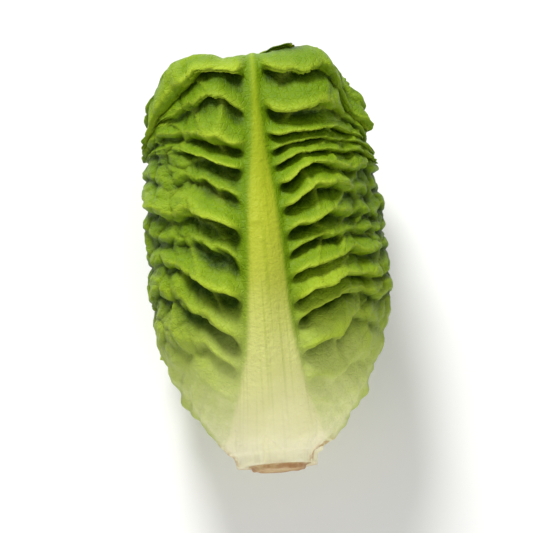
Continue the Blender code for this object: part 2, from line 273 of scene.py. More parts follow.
# What the leaf's colours go by
GREEN_FLANK = 1.7 * MM  # how far in from the midrib's edge its flank is as green as the blade
GREEN_FLANK_SETS_IN = (0.12, 0.36)
GREEN_FLANK_FADES = (0.5, 0.95)
GREEN_FLANK_LOSS = 0.35
RIB_TINT_EDGE = (-0.4 * MM, 1.1 * MM)
TINT_LENGTH = 0.12
LEVEL_RISE = 0.6
HIGHEST_RISE = 1.4
FLANK_LINE = 0.5 * MM
FLANK_LINE_WIDTH = 1.0 * MM
LINE_LENGTH = (0.16 * MM, 9.0 * MM)
CUT_DEPTH = 1.0 * MM

# The drape's grid
AZIMUTH_CELLS = 540
ALONG_STEP = 0.5 * MM
LAYING_GRID = 901  # places each way on a leaf, when it is laid on the drape
REACH = 6  # cells round a high spot that the next leaf is held off
SOFTEN_PASSES = 24
RIB_REACH = 9  # the same for a stiff midrib, which bridges what lies under it
RIB_SOFTEN_PASSES = 160
FACING_DOWN = 0.05  # the least fall, for each step outwards, at which a place faces the surface
OUT_OF_REACH = 1.0

# The random fields
RIPPLE_PITCHES = (0.6, 1.5)
RIPPLE_SPREAD = 1.6
CELL_STRIDES = (73856093, 19349663, 83492791)
CELL_STIR = 1274126177
CELL_MARGIN = 0.1  # how far a seed stays from its square's sides
FARTHEST = 9.0


def smoothstep(low, high, value):
    share = np.clip((value - low) / (high - low), 0.0, 1.0)
    return share * share * (3.0 - 2.0 * share)


def mix(first, second, share):
    return first + (second - first) * share


def ripple(a, b, seed, waves=7):
    """A smooth random field of a and b, mostly within -1 and 1 and the same for the same seed."""
    draw = np.random.default_rng(seed)
    total = 0.0
    for _ in range(waves):
        heading, phase = draw.uniform(0.0, 2.0 * math.pi, 2)
        pitch = draw.uniform(*RIPPLE_PITCHES)
        total = total + np.sin(pitch * (a * math.cos(heading) + b * math.sin(heading)) + phase)
    return total / math.sqrt(waves * RIPPLE_SPREAD)


def cells(a, b, seed):
    """Distances from each place to the nearest and second nearest of randomly set seeds, 1 apart."""
    column = np.floor(a).astype(int)
    row = np.floor(b).astype(int)
    nearest = np.full(a.shape, FARTHEST)
    second = np.full(a.shape, FARTHEST)
    play = 1.0 - 2.0 * CELL_MARGIN
    for over in (-1, 0, 1):
        for up in (-1, 0, 1):
            i = column + over
            j = row + up
            mixed = (i * CELL_STRIDES[0]) ^ (j * CELL_STRIDES[1]) ^ (seed * CELL_STRIDES[2])
            mixed = (mixed ^ (mixed >> 13)) * CELL_STIR & 0xFFFFFFFF
            x = i + CELL_MARGIN + play * (mixed & 0xFFFF) / 65536.0
            y = j + CELL_MARGIN + play * ((mixed >> 16) & 0xFFFF) / 65536.0
            away = np.hypot(a - x, b - y)
            second = np.minimum(second, np.maximum(nearest, away))
            nearest = np.minimum(nearest, away)
    return nearest, second


class Core:
    """The outline of the stem and the closed heart, read by distance along it."""

    def __init__(self):
        knots = np.array(CORE_OUTLINE)
        below = knots[0] - (knots[1] - knots[0]) * (0.0, 1.0)
        past = knots[-2] * (-1.0, 1.0)
        knots = np.vstack([below, knots, past])
        points = []
        steps = np.linspace(0.0, 1.0, 12, endpoint=False)[:, None]
        for a, b, c, d in zip(knots, knots[1:], knots[2:], knots[3:]):
            bend = 2.0 * a - 5.0 * b + 4.0 * c - d
            twist = -a + 3.0 * b - 3.0 * c + d
            points.append(0.5 * (2.0 * b + (c - a) * steps + bend * steps**2 + twist * steps**3))
        line = np.vstack([*points, knots[-2][None]])
        runs = np.hypot(*np.diff(line, axis=0).T)
        self.marks = np.concatenate([[0.0], np.cumsum(runs)])
        self.length = self.marks[-1]
        self.line = line
        slope = np.gradient(line, self.marks, axis=0)
        slope /= np.hypot(*slope.T)[:, None]
        self.normal = np.column_stack([slope[:, 1], -slope[:, 0]])

    def read(self, along, table):
        return np.interp(along, self.marks, table)

    def radius(self, along):
        return self.read(along, self.line[:, 0])

    def place(self, azimuth, along, height):
        """Points on the head, whose axis is +Y and whose cut is at 0, as an array of x, y, z."""
        turn = np.radians(azimuth)
        below = np.minimum(along, 0.0)
        out = self.radius(along) + height * self.read(along, self.normal[:, 0])
        up = self.read(along, self.line[:, 1]) + height * self.read(along, self.normal[:, 1])
        return np.stack(np.broadcast_arrays(out * np.sin(turn), up + below, out * np.cos(turn)), axis=-1)


CORE = Core()


def head_shift():
    """From the head's own frame to the row's, found from the stem, which is round about the axis."""
    low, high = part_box("stem")
    tilt = math.radians(TILT)
    end = -STEM_STUB * math.cos(tilt) - (STUB_RADIUS - STUB_BEVEL) * math.sin(tilt)
    return np.array([(low.x + high.x) / 2.0, low.y - end, 0.0])


HEAD_SHIFT = head_shift()


def lie_down(points):
    """The head's own points turned and lifted to lie on its side, in the row's frame."""
    tilt = math.radians(TILT)
    x, y, z = points[..., 0], points[..., 1], points[..., 2]
    across = y * math.cos(tilt) - z * math.sin(tilt)
    up = y * math.sin(tilt) + z * math.cos(tilt) + AXIS_LIFT
    return np.stack([x, across, up], axis=-1) + HEAD_SHIFT


def eased(values, limit):
    """Values that close in on the limit and never reach it."""
    over = np.maximum(values - limit + SQUEEZE, 0.0)
    return values - over + SQUEEZE * (1.0 - np.exp(-over / SQUEEZE))


def settle(points):
    """The head's own points with its crown filled out, lying on the surface, within the solids' box."""
    share = np.clip((points[..., 1] - CROWN_START) / CROWN_REACH, 0.0, 1.0)
    fullness = 1.0 + CROWN_FULLNESS * share**CROWN_SWELL_POWER
    filled = np.stack([points[..., 0] * fullness, points[..., 1], points[..., 2] * fullness], axis=-1)
    lying = lie_down(filled)
    lying[..., 0] = eased(lying[..., 0], CAD_BOX[1][0])
    lying[..., 0] = -eased(-lying[..., 0], -CAD_BOX[0][0])
    lying[..., 1] = eased(lying[..., 1], CAD_BOX[1][1])
    lying[..., 2] = np.maximum(eased(lying[..., 2], CAD_BOX[1][2]), 0.0)
    return lying


def height_of_surface(azimuth, along):
    """How far out from the core the surface that the head lies on is, and far away elsewhere."""
    foot = lie_down(CORE.place(azimuth, along, 0.0))[..., 2]
    head = lie_down(CORE.place(azimuth, along, 1.0))[..., 2]
    fall = foot - head
    return np.where(fall > FACING_DOWN, foot / np.maximum(fall, FACING_DOWN), OUT_OF_REACH)


class Drape:
    """How high the pieces laid so far stand over the core, on a grid of azimuth and distance along."""

    def __init__(self):
        self.rows = int(CORE.length / ALONG_STEP) + 2
        self.top = np.zeros((self.rows, AZIMUTH_CELLS))

    def softened(self, reach, passes):
        """A surface that clears everything laid so far and bridges its steps."""
        high = np.pad(self.top, ((reach, reach), (0, 0)), mode="edge")
        high = np.max([high[i : i + self.rows] for i in range(2 * reach + 1)], axis=0)
        high = np.max([np.roll(high, turn, axis=1) for turn in range(-reach, reach + 1)], axis=0)
        for _ in range(passes):
            padded = np.pad(high, ((1, 1), (0, 0)), mode="edge")
            high = (padded[:-2] + 2.0 * high + padded[2:]) / 4.0
            high = (np.roll(high, 1, axis=1) + 2.0 * high + np.roll(high, -1, axis=1)) / 4.0
        along = np.arange(self.rows)[:, None] * ALONG_STEP
        free = smoothstep(*LEAVES_PART, along)
        gap = GAP * mix(GAP_SHARE_AT_CUT, 1.0, smoothstep(*GAP_OPENS, along))
        return np.maximum(mix(self.top, high, free), self.top) + gap

    def read(self, field, azimuth, along):
        """The field between its cells, wrapped round the head."""
        turn = np.mod(azimuth, 360.0) * AZIMUTH_CELLS / 360.0
        row = np.clip(along / ALONG_STEP, 0.0, self.rows - 1.001)
        low_row = np.floor(row).astype(int)
        low_turn = np.floor(turn).astype(int)
        up = row - low_row
        over = turn - low_turn
        left = low_turn % AZIMUTH_CELLS
        right = (low_turn + 1) % AZIMUTH_CELLS
        lower = mix(field[low_row, left], field[low_row, right], over)
        upper = mix(field[low_row + 1, left], field[low_row + 1, right], over)
        return mix(lower, upper, up)

    def lay(self, azimuth, along, height):
        """Adds a piece's outer surface, given by points closer together than the cells."""
        turn = np.round(np.mod(azimuth, 360.0) * AZIMUTH_CELLS / 360.0).astype(int) % AZIMUTH_CELLS
        row = np.clip(np.round(along / ALONG_STEP).astype(int), 0, self.rows - 1)
        np.maximum.at(self.top, (row, turn), height)


class Leaf:
    """One wrapped leaf. Its own places are u, from -1 to 1 across it, and q, in folds along it."""

    def __init__(self, number):
        self.name = f"leaf_{number}"
        self.seed = 100 * number
        self.azimuth = GOLDEN_ANGLE * (number - 1)
        self.rank = (number - 1) // 3
        self.ring = RINGS[self.rank]
        self.attach = self.ring["attach"]
        self.lying_room = LYING_ROOM * max(0, min(number - 2, 2))
        self.tip = CORE.length - self.ring["tip_from_crown"]
        self.folds = round((self.tip - self.attach) / self.ring["fold_pitch"])
        draw = np.random.default_rng(self.seed)
        self.marks = []
        for _ in ("left", "right"):
            runs = 1.0 + draw.uniform(-FOLD_RUN_SPREAD, FOLD_RUN_SPREAD, self.folds)
            marks = np.concatenate([[0.0], np.cumsum(runs)])
            self.marks.append(self.attach + (self.tip - self.attach) * marks / marks[-1])
        self.spans = self.ring["span"] * (1.0 + draw.uniform(-SPAN_SPREAD, SPAN_SPREAD, 2))
        self.fold_sizes = draw.uniform(*FOLD_SIZES, (2, MOST_FOLDS))
        self.fold_skews = draw.uniform(*FOLD_SKEWS, (2, MOST_FOLDS))
        self.fold_sharps = draw.uniform(*FOLD_SHARPS, (2, MOST_FOLDS))
        self.fold_reaches = draw.uniform(*FOLD_REACHES, (2, MOST_FOLDS))

    def rib_half(self, reach):
        along, half = np.array(RIB_PROFILE).T
        return self.ring["rib_share"] * np.interp(reach, along, half)

    def where(self, u, q):
        """Azimuth and distance along of a place on the leaf."""
        v = q / self.folds
        left, right = (np.interp(q, np.arange(self.folds + 1), marks) for marks in self.marks)
        side = np.abs(u)
        on_left = u < 0.0
        along = mix(left, right, smoothstep(*SEAM, u)) + self.climb(u, v, mix(left, right, 0.5))
        along = along - TIP_DROP * side**3 * smoothstep(*TIP_DROP_SETS_IN, v)
        tip_wave = ripple(TIP_WAVE_RATE * u, 0.0 * u, self.seed + 1)
        along = along + TIP_WAVE * smoothstep(*TIP_STRETCH, v) * tip_wave
        widest = np.where(on_left, self.spans[0], self.spans[1])
        span = mix(self.ring["base_span"], widest, smoothstep(*SPAN_OPENS, v))
        span = span * (1.0 - TIP_NARROWING * smoothstep(*TIP_STRETCH, v))
        waving = smoothstep(*MARGIN_WAVES_ACROSS, side) * smoothstep(*MARGIN_WAVES_SET_IN, v)
        size, rate = MARGIN_WAVE_LONG
        waved = size * waving * ripple(0.0 * u, rate * q, self.seed + 2)
        size, rate = MARGIN_WAVE_SHORT
        waved = waved + size * waving * ripple(0.0 * u, rate * q, self.seed + 5)
        return self.azimuth + u * span + np.sign(u) * waved, along

    def climb(self, u, v, middle):
        """How far up the side veins have taken a place, from where they leave the midrib."""
        side = np.abs(u)
        out = CORE.radius(middle) + GIRTH_FOR_WIDTH * smoothstep(*GIRTH_GROWS, v)
        half_width = np.radians(self.ring["span"]) * out
        beside = np.maximum(side - self.rib_half(middle - self.attach) / half_width, 0.0)
        early = 1.0 - np.exp(-beside / np.where(u < 0.0, *VEIN_BEND))
        rise = np.where(u < 0.0, *VEIN_RISE) * mix(side, early, VEIN_EARLY_SHARE)
        return rise * smoothstep(*CLIMB_SETS_IN, v) * (1.0 - smoothstep(*CLIMB_FADES, v))

    def thickness(self, side, v, across, half):
        """The flesh's thickness, and the midrib's cross-section from 0 to 1."""
        power, root = RIB_SHOULDER
        crown = np.clip(1.0 - (across / np.minimum(half, THICK_HALF)) ** power, 0.0, 1.0) ** root
        rib = self.ring["rib_thickness"] * mix(1.0, RIB_TIP_SHARE, v)
        if self.rank > 0:
            rib = mix(BLADE_THICKNESS, rib, smoothstep(*INNER_RIB_SETS_IN, v))
            blade = BLADE_THICKNESS
        else:
            blade = mix(FLANK_THICKNESS, BLADE_THICKNESS, smoothstep(*BLADE_THINS, v))
        blade = blade * (1.0 - MARGIN_THINNING * smoothstep(*MARGIN_THINS, side))
        return mix(blade, np.maximum(rib, blade), crown), crown

    def shape(self, u, q, drape, grounds):
        """The leaf's places and heights, and what its colours go by, all as arrays."""
        v = q / self.folds
        side = np.abs(u)
        azimuth, along = self.where(u, q)
        reach = along - self.attach
        out = CORE.radius(along) + GIRTH_FOR_DISTANCE * smoothstep(*GIRTH_GROWS, v)
        across = np.radians(np.abs(azimuth - self.azimuth)) * out
        half = self.rib_half(reach)
        from_rib = across - half
        thickness, crown = self.thickness(side, v, across, half)

        swell = smoothstep(*SWELL_SETS_IN, v) * (1.0 - SWELL_LOSS * smoothstep(*SWELL_FADES, v))
        beyond = smoothstep(*BESIDE_RIB, from_rib)
        far = smoothstep(*FAR_FROM_RIB, from_rib)
        margin = smoothstep(*MARGIN, side)
        depth = self.ring["fold_depth"]
        fold, lip = self.fold(u, q, from_rib)
        folds_left = mix(1.0, np.where(u < 0.0, *FOLDS_FAR), far)
        blisters = BLISTER_HEIGHT * (depth / RINGS[0]["fold_depth"]) * mix(BLISTERS_BY_RIB, 1.0, far)
        standing = depth * (FOLD_BASE + FOLD_GAIN * folds_left * (fold - 0.5))
        standing = standing + blisters * self.blister(u, along, from_rib)
        level = RIB_LEVEL * depth
        ruffle = RUFFLE * margin * (1.0 + ripple(RUFFLE_RATE[0] * u, RUFFLE_RATE[1] * q, self.seed + 4))
        fine = (across / WRINKLE_LENGTH, along / WRINKLE_LENGTH)
        wrinkle = WRINKLE * ripple(*fine, self.seed + 6, WRINKLE_WAVES)
        puffed = swell * (mix(level, standing + wrinkle, beyond) + np.maximum(ruffle, 0.0))
        low_relief = self.low_relief(side, v, across, along, crown, (1.0 - swell) * beyond)

        ground, rib_ground = (drape.read(field, azimuth, along) for field in grounds)
        stiff = 1.0 - STIFFNESS_LOSS * smoothstep(*STIFFNESS_FADES, from_rib)
        ground = mix(ground, rib_ground, stiff)
        outer = ground + puffed + thickness + low_relief
        outer = np.minimum(outer, height_of_surface(azimuth, along) - self.lying_room)
        inner = outer - thickness
        lean = -mix(*OVERHANG, far) * swell * beyond * (standing - level)
        lean = lean * (1.0 - LEAN_LOSS_AT_MARGIN * margin)
        lines = ripple(np.sign(u) * across / LINE_LENGTH[0], along / LINE_LENGTH[1], self.seed + 9)
        tint = {
            "rib": 1.0 - smoothstep(*RIB_TINT_EDGE, from_rib + self.green_flank(v)),
            "along": along / TINT_LENGTH,
            # rise, how high a place stands among the folds, is turned by the material into painted shade
            # in the pockets and a painted highlight on the crests
            "rise": np.clip(mix(LEVEL_RISE, standing / depth, swell * beyond), 0.0, HIGHEST_RISE),
            "flank": np.exp(-(((from_rib + FLANK_LINE) / FLANK_LINE_WIDTH) ** 2)),
            "lines": 0.5 + 0.5 * lines,
            # lip: where the material paints a pale vein line with a painted highlight
            "lip": lip * swell * beyond,
            "edge": margin,
            "cut": 1.0 - smoothstep(0.0, CUT_DEPTH, reach),
        }
        return azimuth, along, lean, inner, outer, tint

    def low_relief(self, side, v, across, along, crown, bare):
        """The midrib's grooves, and what shapes the leaf where its folds haven't set in."""
        grooves = (across / GROOVE_LENGTH[0], along / GROOVE_LENGTH[1])
        relief = GROOVE * crown * ripple(*grooves, self.seed + 7)
        height = mix(*CRINKLE, smoothstep(*CRINKLES_ACROSS, side)) * smoothstep(*CRINKLES_SET_IN, v)
        crinkles = (across / CRINKLE_LENGTH[0], along / CRINKLE_LENGTH[1])
        relief = relief + ripple(*crinkles, self.seed + 8, CRINKLE_WAVES) * bare * height
        if self.rank == 0:
            flare = smoothstep(*FLARE_ACROSS, side) * (1.0 - smoothstep(*FLARE_FADES, v))
            relief = relief + FLARE * flare
        return relief

    def green_flank(self, v):
        """How far in from the midrib's edge the green comes."""
        fading = GREEN_FLANK_LOSS * smoothstep(*GREEN_FLANK_FADES, v)
        share = smoothstep(*GREEN_FLANK_SETS_IN, v) * (1.0 - fading)
        return GREEN_FLANK * self.ring["rib_share"] * share

    def fold(self, u, q, from_rib):
        """The side folds, 0 in a pocket and 1 on a crest that leans towards the stem, and their lips,
        where the material paints a pale vein line with a painted highlight.
        """
        total = np.zeros(u.shape)
        lip_lines = np.zeros(u.shape)
        loose = smoothstep(*FOLDS_LOOSEN, from_rib)
        rounded = smoothstep(*FOLDS_ROUND_OFF, from_rib)
        for number, (rate, mask) in enumerate(zip(FOLD_RATE, (u < 0.0, u >= 0.0))):
            seed = self.seed + 20 + number
            wander = 0.0
            for strength, length, bends, shift, waves in WANDERS:
                wander = wander + strength * ripple(from_rib / length, q * bends, seed + shift, waves)
            step = q * rate + wander * loose
            which = np.clip(np.floor(step).astype(int), 0, MOST_FOLDS - 1)
            share = np.clip(step - np.floor(step), 0.0, 1.0)
            turned = share ** self.fold_skews[number][which]
            wave = np.clip(np.sin(math.pi * turned), 0.0, 1.0)
            sharp = mix(self.fold_sharps[number][which], 1.0, rounded)
            lip = np.exp(-(((turned - LIP_PLACE) / LIP_WIDTH) ** 2)) * (1.0 - LIP_LOSS_FAR * rounded)
            fading = smoothstep(0.0, FOLD_FADE, from_rib - self.fold_reaches[number][which])
            size = mix(self.fold_sizes[number][which], FADED_FOLD, fading)
            branch = self.branch(q, from_rib, seed)
            crest = size * (wave**sharp + LIP_RISE * lip)
            joined = BRANCH * branch * (1.0 - BRANCH_LOSS_ON_CREST * wave)
            total = np.where(mask, crest + joined, total)
            lip_lines = np.where(mask, np.maximum(lip, branch * BRANCH_LIP) * size, lip_lines)
        return total, lip_lines

    def branch(self, q, from_rib, seed):
        """The smaller folds that join the side folds, from 0 to 1."""
        slant, rate = BRANCH_RATE
        line = ripple(from_rib / BRANCH_LENGTH - q * slant, q * rate, seed + 30, 13)
        ridge = np.clip(1.0 - np.abs(line) / BRANCH_WIDTH, 0.0, 1.0) ** BRANCH_SHARPNESS
        return ridge * smoothstep(*BRANCHES_SET_IN, from_rib)

    def blister(self, u, along, from_rib):
        """Rounded blisters with narrow creases between, about 0 on average."""
        x = from_rib * np.sign(u)
        grown = smoothstep(*BLISTERS_GROW, from_rib)
        a = x / BLISTER * mix(BLISTER_STRETCH[0], 1.0, grown)
        b = (along - np.abs(x) * BLISTER_SLANT) / BLISTER * mix(BLISTER_STRETCH[1], 1.0, grown)
        for strength, length, seed_across, seed_along in BLISTER_WARPS:
            a = a + strength * ripple(x / length, along / length, self.seed + seed_across)
            b = b + strength * ripple(x / length, along / length, self.seed + seed_along)
        nearest, second = cells(a, b, self.seed + 42)
        border = np.clip((second - nearest) * BLISTER / 2.0 / BLISTER_ROUND, 0.0, 1.0)
        large = np.sqrt(np.clip(1.0 - (1.0 - border) ** 2, 0.0, 1.0))
        nearest, second = cells(a * SMALL_BLISTERS, b * SMALL_BLISTERS, self.seed + 43)
        small = np.sqrt(np.clip((second - nearest) * SMALL_SLOPE, 0.0, 1.0))
        return large * LARGE_SHARE + (1.0 - LARGE_SHARE) * small - BLISTER_MEAN


# The picture that a sheet is baked on, 1 wide and 1 high: the room round each side, and the rim's strip
BAKE_EDGE = 0.01
BAKE_RIM = 0.004
BAKE_SLACK = 0.0001


def surface_mesh(name, sheets, tints):
    """A closed sheet: an outer and an inner grid of points joined at their rims."""
    outer, inner = sheets
    rows, columns = outer.shape[:2]
    count = rows * columns
    index = np.arange(count).reshape(rows, columns)
    a, b, c, d = index[:-1, :-1], index[:-1, 1:], index[1:, 1:], index[1:, :-1]
    front = np.stack([a, b, c, d], axis=-1).reshape(-1, 4)
    back = front[:, ::-1] + count
    ring = np.concatenate([index[0, :-1], index[:-1, -1], index[-1, :0:-1], index[:0:-1, 0]])
    after = np.roll(ring, -1)
    rim = np.stack([after, ring, ring + count, after + count], axis=-1)
    faces = np.vstack([front, back, rim])
    points = np.vstack([outer.reshape(-1, 3), inner.reshape(-1, 3)])
    mesh = bpy.data.meshes.new(name)
    mesh.vertices.add(len(points))
    mesh.vertices.foreach_set("co", points.astype(np.float32).ravel())
    mesh.loops.add(faces.size)
    mesh.loops.foreach_set("vertex_index", faces.astype(np.int32).ravel())
    mesh.polygons.add(len(faces))
    mesh.polygons.foreach_set("loop_start", np.arange(0, faces.size, 4, dtype=np.int32))
    mesh.update(calc_edges=True)
    for key, values in tints.items():
        layer = mesh.attributes.new(key, "FLOAT", "POINT")
        both = np.concatenate([np.broadcast_to(values, (rows, columns)).ravel()] * 2)
        layer.data.foreach_set("value", both.astype(np.float32))
    bake_places(mesh, faces, rows, columns, len(front))
    mesh.shade_smooth()
    return mesh


def bake_places(mesh, faces, rows, columns, front_count):
    """The sheet's two sides laid flat beside each other, for baking."""
    x = np.broadcast_to(np.linspace(BAKE_EDGE, 0.5 - BAKE_EDGE, columns), (rows, columns)).ravel()
    y = np.repeat(np.linspace(BAKE_EDGE, 1.0 - BAKE_EDGE, rows), columns)
    count = rows * columns
    place = np.stack([np.concatenate([x, x]), np.concatenate([y, y])], axis=-1)
    corners = place[faces]
    corners[front_count : 2 * front_count, :, 0] += 0.5
    rim = corners[2 * front_count :]
    middle = np.array([0.25, 0.5])
    from_middle = rim - middle
    at_side = np.abs(from_middle) > middle - BAKE_EDGE - BAKE_SLACK
    outward = np.sign(from_middle) * at_side
    rim += np.where(faces[2 * front_count :, :, None] >= count, outward * BAKE_RIM, 0.0)
    layer = mesh.uv_layers.new(name="OFBake")
    layer.data.foreach_set("uv", corners.astype(np.float32).ravel())


def add_piece(name, mesh, material):
    piece = bpy.data.objects.new(name, mesh)
    bpy.context.scene.collection.objects.link(piece)
    mesh.materials.append(material)
    return piece


# The places of a mix node's two colours, and of the colour that it gives
MIX_FIRST = 6
MIX_SECOND = 7
MIX_RESULT = 2


class Nodes:
    """A material's node tree, with short ways to add the nodes that are used here."""

    def __init__(self, name):
        self.material = bpy.data.materials.new(name)
        self.material.use_nodes = True
        self.tree = self.material.node_tree
        self.shader = self.tree.nodes["Principled BSDF"]

    def link(self, source, target):
        if isinstance(source, bpy.types.NodeSocket):
            self.tree.links.new(source, target)
        else:
            target.default_value = source

    def attribute(self, name):
        node = self.tree.nodes.new("ShaderNodeAttribute")
        node.attribute_name = name
        return node.outputs["Fac"]

    def math(self, operation, *values):
        node = self.tree.nodes.new("ShaderNodeMath")
        node.operation = operation
        for socket, value in zip(node.inputs, values):
            self.link(value, socket)
        return node.outputs[0]

    def span(self, value, low, high, start=0.0, end=1.0):
        node = self.tree.nodes.new("ShaderNodeMapRange")
        node.interpolation_type = "SMOOTHSTEP"
        for socket, item in zip(node.inputs, (value, low, high, start, end)):
            self.link(item, socket)
        return node.outputs[0]

    def noise(self, scale, detail=3.0, roughness=0.5):
        node = self.tree.nodes.new("ShaderNodeTexNoise")
        place = self.tree.nodes.new("ShaderNodeTexCoord")
        self.tree.links.new(place.outputs["Object"], node.inputs["Vector"])
        node.inputs["Scale"].default_value = scale
        node.inputs["Detail"].default_value = detail
        node.inputs["Roughness"].default_value = roughness
        return node.outputs["Fac"]

    def web(self, scale, low, high):
        """A network of fine lines: 1 on a line and 0 between."""
        node = self.tree.nodes.new("ShaderNodeTexVoronoi")
        node.feature = "DISTANCE_TO_EDGE"
        place = self.tree.nodes.new("ShaderNodeTexCoord")
        self.tree.links.new(place.outputs["Object"], node.inputs["Vector"])
        node.inputs["Scale"].default_value = scale
        return self.span(node.outputs["Distance"], low, high, 1.0, 0.0)

    def blend(self, share, first, second):
        node = self.tree.nodes.new("ShaderNodeMix")
        node.data_type = "RGBA"
        self.link(share, node.inputs["Factor"])
        self.link(first, node.inputs[MIX_FIRST])
        self.link(second, node.inputs[MIX_SECOND])
        return node.outputs[MIX_RESULT]

    def ramp(self, value, stops):
        node = self.tree.nodes.new("ShaderNodeValToRGB")
        node.color_ramp.interpolation = "B_SPLINE"
        while len(node.color_ramp.elements) < len(stops):
            node.color_ramp.elements.new(0.5)
        for element, (place, colour) in zip(node.color_ramp.elements, stops):
            element.position = place
            element.color = colour
        self.link(value, node.inputs["Fac"])
        return node.outputs["Color"]

    def bump(self, height, strength, distance):
        node = self.tree.nodes.new("ShaderNodeBump")
        node.inputs["Strength"].default_value = strength
        node.inputs["Distance"].default_value = distance
        self.link(height, node.inputs["Height"])
        return node.outputs["Normal"]

    def glow(self, weight, radius):
        """Lets light through the flesh, as far as radius says for red, green and blue."""
        self.shader.inputs["Subsurface Weight"].default_value = weight
        self.shader.inputs["Subsurface Radius"].default_value = radius
        self.shader.inputs["Subsurface Scale"].default_value = 1.0


def srgb(red, green, blue):
    """A display colour of 0 to 255 as the linear colour that shaders take."""
    values = np.array([red, green, blue]) / 255.0
    linear = np.where(values <= 0.04045, values / 12.92, ((values + 0.055) / 1.055) ** 2.4)
    return (*linear.tolist(), 1.0)


IVORY = srgb(246, 241, 203)
IVORY_WARM = srgb(236, 232, 172)
RIB_LOW = srgb(214, 215, 134)
RIB_MID = srgb(174, 181, 48)
RIB_HIGH = srgb(160, 172, 34)
BLADE_LOW = srgb(206, 214, 126)
BLADE_MID = srgb(132, 156, 16)
BLADE_HIGH = srgb(98, 130, 4)
# painted shade, laid into the pockets between the folds
POCKET_SHADE = srgb(36, 60, 2)
# pale green: the painted highlight on the fold crests, and the colour of the mottles and fine veins
PALE_GREEN_AND_HIGHLIGHT = srgb(152, 178, 26)
# a pale vein line along each fold's lip, lightened further as a painted highlight
LIP_VEIN_AND_HIGHLIGHT = srgb(180, 198, 54)
LOW_MARGIN = srgb(158, 178, 62)
CUT_BROWN = srgb(176, 122, 66)
YOUNG = srgb(222, 222, 120)
STEM_PALE = srgb(226, 210, 160)
STEM_SPOT = srgb(206, 182, 124)
STEM_FACE = srgb(206, 172, 120)
STEM_RIM = srgb(166, 118, 68)
STEM_RING = srgb(136, 96, 52)

# The blade and the midrib by distance along the head, 1 being TINT_LENGTH
BLADE_STOPS = [
    (0.05, IVORY),
    (0.19, BLADE_LOW),
    (0.33, BLADE_MID),
    (0.50, BLADE_HIGH),
    (1.0, BLADE_HIGH),
]
RIB_STOPS = [
    (0.04, IVORY),
    (0.14, IVORY_WARM),
    (0.26, RIB_LOW),
    (0.40, RIB_MID),
    (0.68, RIB_HIGH),
    (0.95, BLADE_MID),
]

# The leaf's patterns, in repeats to a metre, and how strongly each of its colours lies on the rest
CLOUD_SCALE = 70.0
FINE_SCALE = 420.0
VEIN_SCALE = 560.0
GRAIN_SCALE = 700.0
VEIN_WIDTH = 0.12
COLOUR_DRIFT = 0.10
# how strongly the painted highlight lies on the crests
CREST_HIGHLIGHT_STRENGTH = 0.3
# how strongly the pale vein line and its painted highlight lie on the lips
LIP_VEIN_AND_HIGHLIGHT_STRENGTH = 0.7
MOTTLE_STRENGTH = 0.10
VEIN_STRENGTH = 0.14
RIB_LINE_STRENGTH = (0.05, 0.3)  # at the cut and higher up
FLANK_STRENGTH = 0.6
LOW_MARGIN_STRENGTH = 0.75
TORN_STRENGTH = 0.7
BROWNED_STRENGTH = 0.6
YOUTH_MIX = 0.5
LEAF_ROUGHNESS = (0.38, 0.5)
LEAF_IOR = 1.42
LEAF_SPECULAR = 0.16
LEAF_GLOW = 0.12
LEAF_GLOW_RADIUS = (0.0012, 0.0016, 0.0004)
LEAF_BUMP = (0.6, 0.0009)
VEIN_GROOVES = (0.06, 0.26)

STEM_CLOUD_SCALE = 160.0
STEM_SPOT_SCALE = 700.0
STEM_RING_STRENGTH = 0.5
STEM_ROUGHNESS = 0.5
STEM_GLOW = 0.1
STEM_GLOW_RADIUS = (0.0016, 0.0012, 0.0006)
STEM_BUMP = (0.7, 0.0012)


def blade_colour(nodes, height, fine):
    """The blade: painted shade darkens its pockets and a painted highlight lightens its crests; its lips
    carry a pale vein line with a painted highlight; its fine veins are paler where it stands high.
    """
    rise = nodes.attribute("rise")
    blade = nodes.ramp(height, BLADE_STOPS)
    # painted shade: the lower a place lies among the folds, the darker it is painted, except low by the
    # pale cut
    pocket_shade = nodes.math("MULTIPLY", nodes.span(rise, 0.62, 0.12), nodes.span(height, 0.16, 0.36))
    blade = nodes.blend(pocket_shade, blade, POCKET_SHADE)
    # painted highlight on the crests, the highest places among the folds
    crest_highlights = nodes.math("MULTIPLY", nodes.span(rise, 0.8, 1.15), CREST_HIGHLIGHT_STRENGTH)
    blade = nodes.blend(crest_highlights, blade, PALE_GREEN_AND_HIGHLIGHT)
    # the lips: a pale vein line, lightened further as a painted highlight
    lip_lines = nodes.math("MULTIPLY", nodes.attribute("lip"), LIP_VEIN_AND_HIGHLIGHT_STRENGTH)
    blade = nodes.blend(lip_lines, blade, LIP_VEIN_AND_HIGHLIGHT)
    mottles = nodes.math("MULTIPLY", nodes.span(fine, 0.35, 0.68), MOTTLE_STRENGTH)
    blade = nodes.blend(mottles, blade, PALE_GREEN_AND_HIGHLIGHT)
    off_rib = nodes.math("SUBTRACT", 1.0, nodes.attribute("rib"))
    veins = nodes.math("MULTIPLY", nodes.web(VEIN_SCALE, 0.0, VEIN_WIDTH), off_rib)
    seen = nodes.math("MULTIPLY", veins, nodes.span(rise, 0.3, 0.8, 0.0, VEIN_STRENGTH))
    return nodes.blend(seen, blade, PALE_GREEN_AND_HIGHLIGHT), veins


def rib_colour(nodes, height):
    """The midrib, with fine green lines along it."""
    rib = nodes.ramp(height, RIB_STOPS)
    strength = nodes.span(height, 0.1, 0.4, *RIB_LINE_STRENGTH)
    lines = nodes.math("MULTIPLY", nodes.span(nodes.attribute("lines"), 0.55, 0.95), strength)
    return nodes.blend(lines, rib, BLADE_MID)


